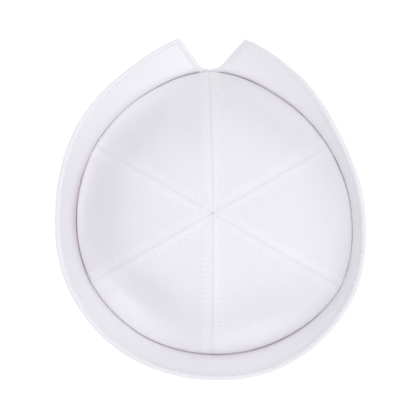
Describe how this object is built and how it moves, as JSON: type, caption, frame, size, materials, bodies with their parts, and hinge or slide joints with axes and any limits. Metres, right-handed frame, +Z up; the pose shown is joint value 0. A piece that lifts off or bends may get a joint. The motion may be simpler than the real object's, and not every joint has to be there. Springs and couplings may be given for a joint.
{
  "type": "sailor hat",
  "caption": "White cotton sailor hat: a domed crown sewn from gores, and a deep brim turned up all round that flares at its edge and has a V cut out at the back.",
  "frame": {"origin": "on the surface that the hat stands on, under the middle of its outline seen from above", "axes": "+Z up, +Y towards the notched back of the brim, -Y towards the front, +X to the right as seen from the front"},
  "size_m": [0.2193, 0.2419, 0.088],
  "materials": {
    "crown_twill": "matt white cotton twill",
    "brim_twill": "matt white cotton twill, doubled and pressed"
  },
  "bodies": {
    "root": {"crown_gore_right": "crown_twill", "crown_gore_back_right": "crown_twill", "crown_gore_back_left": "crown_twill", "crown_gore_left": "crown_twill", "crown_gore_front_left": "crown_twill", "crown_gore_front_right": "crown_twill", "brim": "brim_twill"}
  },
  "joints": []
}
